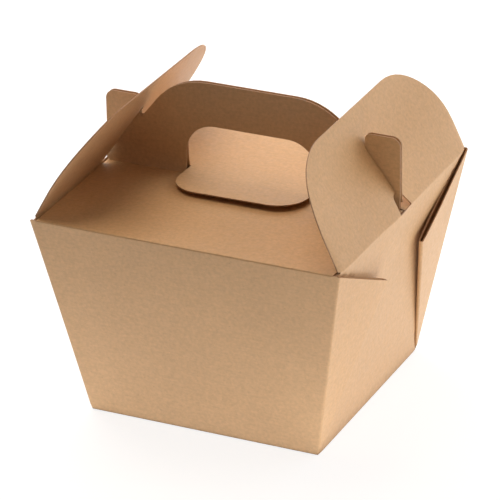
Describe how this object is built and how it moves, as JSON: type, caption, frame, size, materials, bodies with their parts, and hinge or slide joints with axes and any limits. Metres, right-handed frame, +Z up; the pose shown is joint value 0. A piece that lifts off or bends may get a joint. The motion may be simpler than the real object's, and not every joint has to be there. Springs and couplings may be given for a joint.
{
  "type": "takeaway box",
  "caption": "Tapered kraft card takeaway box with double-folded corner webs, an upright carrying handle with a hand hole, and slotted end flaps that lock over its ears.",
  "frame": {"origin": "middle of the underside of the floor, which is the middle of the bounding box's bottom", "axes": "+X to the right along the handle, +Y to the back, +Z up"},
  "size_m": [0.1634, 0.16, 0.1571],
  "materials": {
    "kraft_card": "matt unbleached kraft card with fine fibre speckle and paler cut edges"
  },
  "bodies": {
    "box": {"carton": "kraft_card"},
    "right_flap": {"right_end_flap": "kraft_card"},
    "left_flap": {"left_end_flap": "kraft_card"}
  },
  "joints": [
    {"name": "right_flap_fold", "type": "hinge", "parent": "box", "child": "right_flap", "pos_m": [0.07849, 0, 0.10827], "axis": [0, 1, 0], "range_deg": [0, 116]},
    {"name": "left_flap_fold", "type": "hinge", "parent": "box", "child": "left_flap", "pos_m": [-0.07849, 0, 0.10827], "axis": [0, -1, 0], "range_deg": [0, 116]}
  ]
}
